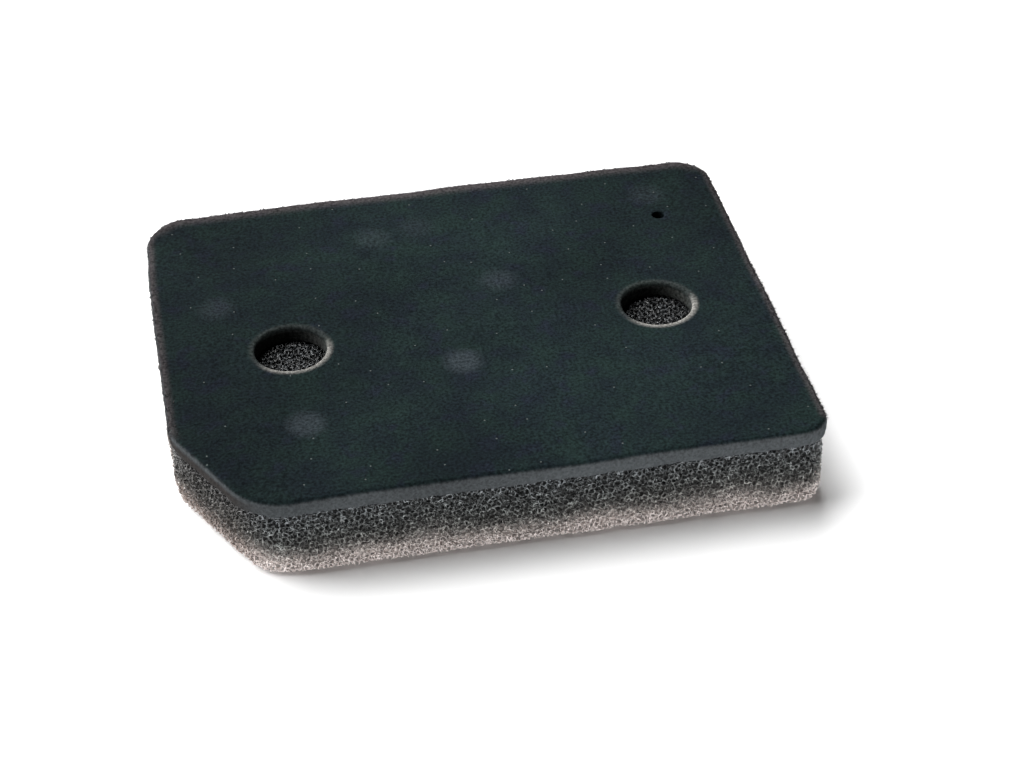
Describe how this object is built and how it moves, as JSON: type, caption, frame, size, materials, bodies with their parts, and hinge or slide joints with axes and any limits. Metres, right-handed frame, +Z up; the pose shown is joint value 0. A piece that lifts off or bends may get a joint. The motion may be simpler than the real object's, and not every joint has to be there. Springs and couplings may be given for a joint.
{
  "type": "air filter",
  "caption": "Rectangular two-layer foam air filter pad with rounded corners, one clipped corner and locating holes in its fine upper layer.",
  "frame": {"origin": "middle of the pad's underside, on the surface that it lies on", "axes": "+X along the pad's long sides, +Y towards the rear long side, +Z up through the coarse layer to the fine one; the clipped corner is at -X, -Y"},
  "size_m": [0.207, 0.165, 0.029],
  "materials": {
    "fine_foam": "matte",
    "coarse_foam": "satin",
    "adhesive": "matte"
  },
  "bodies": {
    "root": {"fine_foam_layer": "fine_foam", "coarse_foam_layer": "coarse_foam", "adhesive_spots": "adhesive"}
  },
  "joints": []
}
